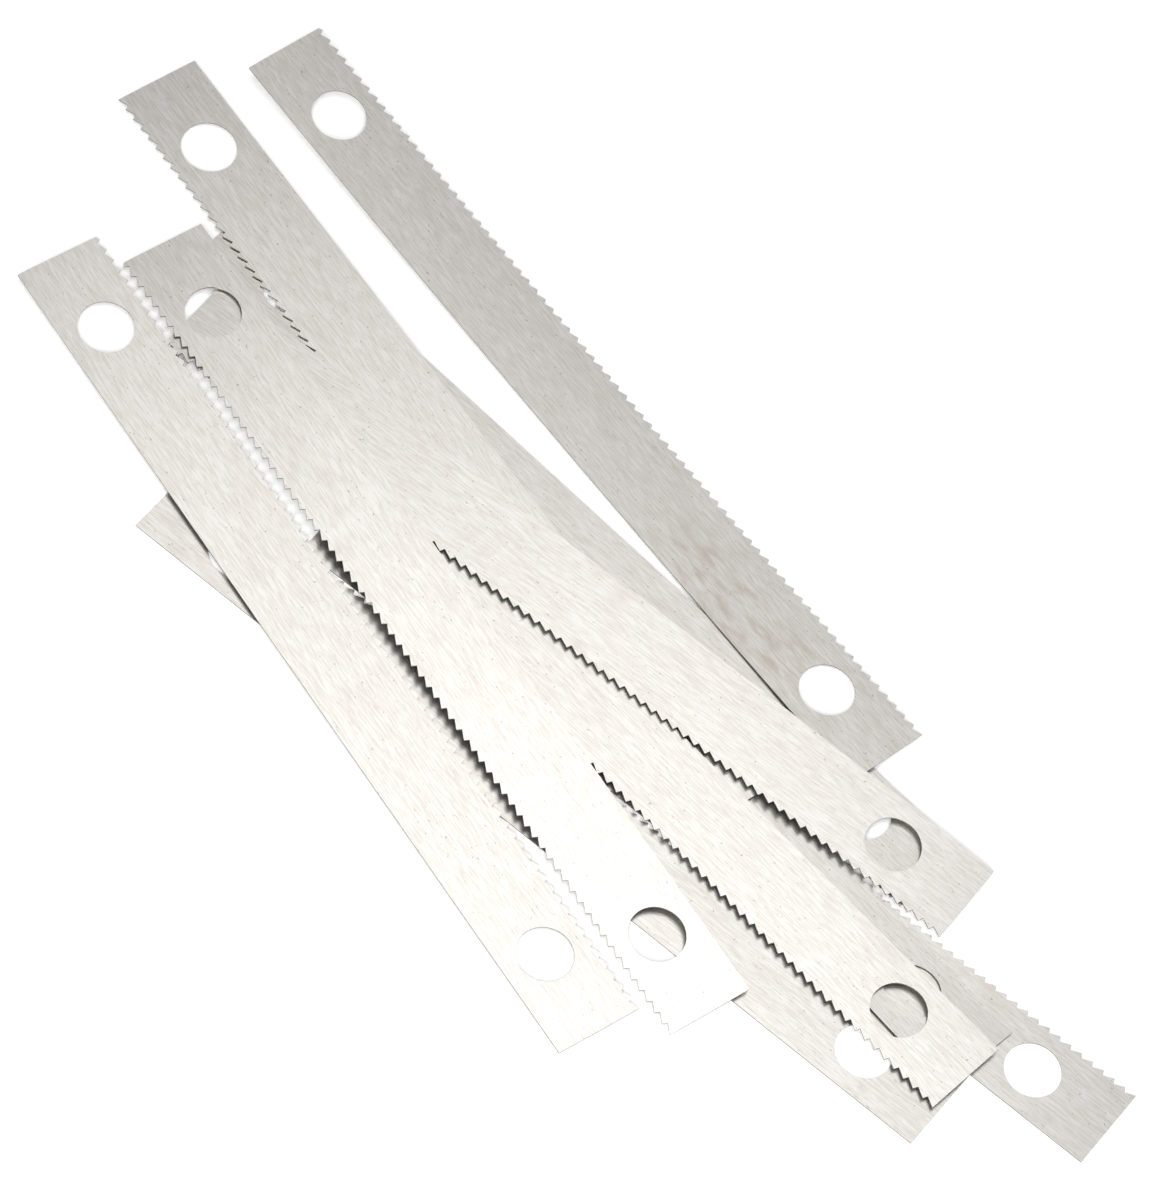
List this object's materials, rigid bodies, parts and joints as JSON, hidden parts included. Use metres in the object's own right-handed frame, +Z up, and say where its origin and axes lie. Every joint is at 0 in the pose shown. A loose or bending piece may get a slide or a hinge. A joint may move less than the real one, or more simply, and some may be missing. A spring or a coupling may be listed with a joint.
{
  "type": "jeweler saw blades",
  "caption": "Loose fan of thin flat steel saw blades, toothed along one edge, with a round hole near each end for the studs of a hand saw frame.",
  "frame": {"origin": "under the middle of the whole pile, on the surface that it lies on", "axes": "+Z up; +X along the fan, towards its far end, on the right in the view from above; +Y to the side"},
  "size_m": [0.238, 0.0968, 0.0034],
  "materials": {
    "blade_steel": "cold-rolled spring steel strip, ground and brushed lengthwise, bare"
  },
  "bodies": {
    "saw_blade_01": {"saw_blade_01": "blade_steel"},
    "saw_blade_02": {"saw_blade_02": "blade_steel"},
    "saw_blade_03": {"saw_blade_03": "blade_steel"},
    "saw_blade_04": {"saw_blade_04": "blade_steel"},
    "saw_blade_05": {"saw_blade_05": "blade_steel"},
    "saw_blade_06": {"saw_blade_06": "blade_steel"},
    "saw_blade_07": {"saw_blade_07": "blade_steel"},
    "saw_blade_08": {"saw_blade_08": "blade_steel"},
    "saw_blade_09": {"saw_blade_09": "blade_steel"},
    "saw_blade_10": {"saw_blade_10": "blade_steel"}
  },
  "joints": [
    {"name": "lift_02", "type": "slide", "parent": "saw_blade_01", "child": "saw_blade_02", "axis": [0, 0, 1], "range_m": [0, 0.015]},
    {"name": "lift_03", "type": "slide", "parent": "saw_blade_02", "child": "saw_blade_03", "axis": [0, 0, 1], "range_m": [0, 0.015]},
    {"name": "lift_04", "type": "slide", "parent": "saw_blade_03", "child": "saw_blade_04", "axis": [0, 0, 1], "range_m": [0, 0.015]},
    {"name": "lift_05", "type": "slide", "parent": "saw_blade_04", "child": "saw_blade_05", "axis": [0, 0, 1], "range_m": [0, 0.015]},
    {"name": "lift_06", "type": "slide", "parent": "saw_blade_05", "child": "saw_blade_06", "axis": [0, 0, 1], "range_m": [0, 0.015]},
    {"name": "lift_07", "type": "slide", "parent": "saw_blade_06", "child": "saw_blade_07", "axis": [0, 0, 1], "range_m": [0, 0.015]},
    {"name": "lift_08", "type": "slide", "parent": "saw_blade_07", "child": "saw_blade_08", "axis": [0, 0, 1], "range_m": [0, 0.015]},
    {"name": "lift_09", "type": "slide", "parent": "saw_blade_08", "child": "saw_blade_09", "axis": [0, 0, 1], "range_m": [0, 0.015]},
    {"name": "lift_10", "type": "slide", "parent": "saw_blade_09", "child": "saw_blade_10", "axis": [0, 0, 1], "range_m": [0, 0.015]}
  ]
}
